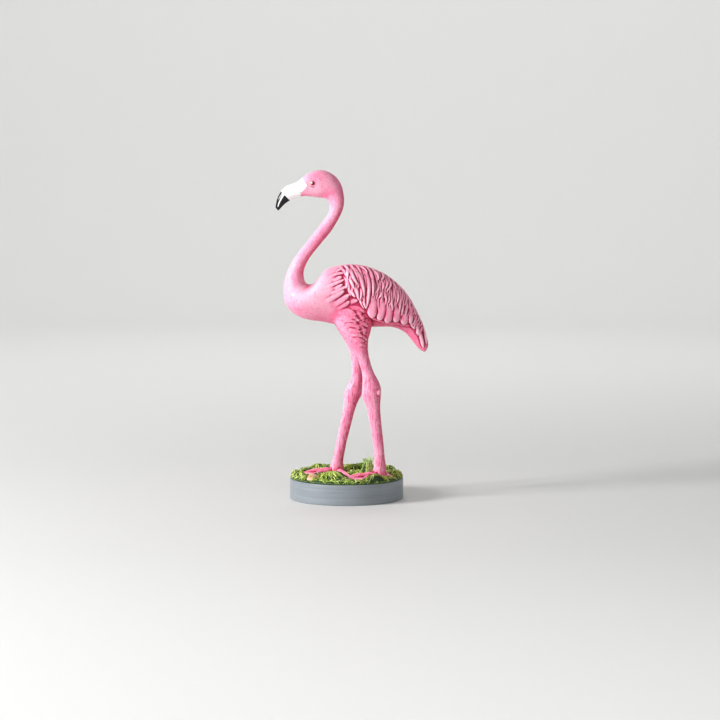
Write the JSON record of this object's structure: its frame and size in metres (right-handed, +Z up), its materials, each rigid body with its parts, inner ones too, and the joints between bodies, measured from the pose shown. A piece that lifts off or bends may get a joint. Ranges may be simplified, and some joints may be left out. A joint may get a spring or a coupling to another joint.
{
  "type": "flamingo figurine",
  "caption": "Cast flamingo figurine walking with its neck in an S, carved folded wings and webbed feet, standing on modelled grass over a round base.",
  "frame": {"origin": "middle of the plinth's underside", "axes": "+Z up, the bird walks towards -X, its left side faces -Y"},
  "size_m": [0.1339, 0.1002, 0.2886],
  "materials": {
    "bird": "hand-painted cast resin, satin",
    "grass": "hand-painted cast resin, matt",
    "plinth": "painted cast resin, satin"
  },
  "bodies": {
    "root": {"flamingo": "bird", "turf": "grass", "plinth": "plinth"}
  },
  "joints": []
}
